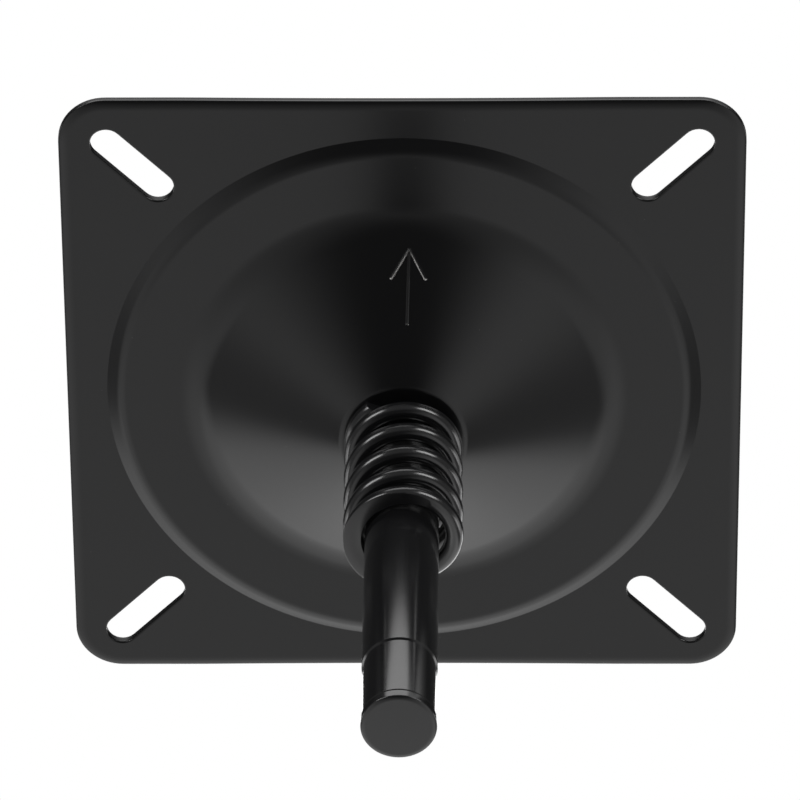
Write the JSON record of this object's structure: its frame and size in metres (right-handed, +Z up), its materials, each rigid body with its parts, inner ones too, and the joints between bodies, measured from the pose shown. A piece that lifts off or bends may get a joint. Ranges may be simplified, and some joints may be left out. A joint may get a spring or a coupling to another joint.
{
  "type": "swivel seat base",
  "caption": "Pressed steel seat plate with a raised dome, a welded pin post and a coil spring, for a seat that swivels on a pedestal.",
  "frame": {"origin": "centre of the plate's top face, on the post's axis", "axes": "+Z up, out of the top face towards the seat, with the post pointing down along -Z; the raised arrow points to the front along -Y; X runs across"},
  "size_m": [0.1778, 0.1778, 0.1531],
  "materials": {
    "plate_paint": "gloss black",
    "post_paint": "satin black over turned steel",
    "weld_paint": "gloss black over weld ripples",
    "spring_paint": "gloss black"
  },
  "bodies": {
    "base": {"mounting_plate": "plate_paint", "post": "post_paint", "post_weld": "weld_paint"},
    "spring_body": {"spring": "spring_paint"}
  },
  "joints": [
    {"name": "spring_compression", "type": "slide", "parent": "base", "child": "spring_body", "axis": [0, 0, 1], "range_m": [0, 0.018], "stiffness_N_per_m": 83000, "deforming": ["spring"]}
  ]
}
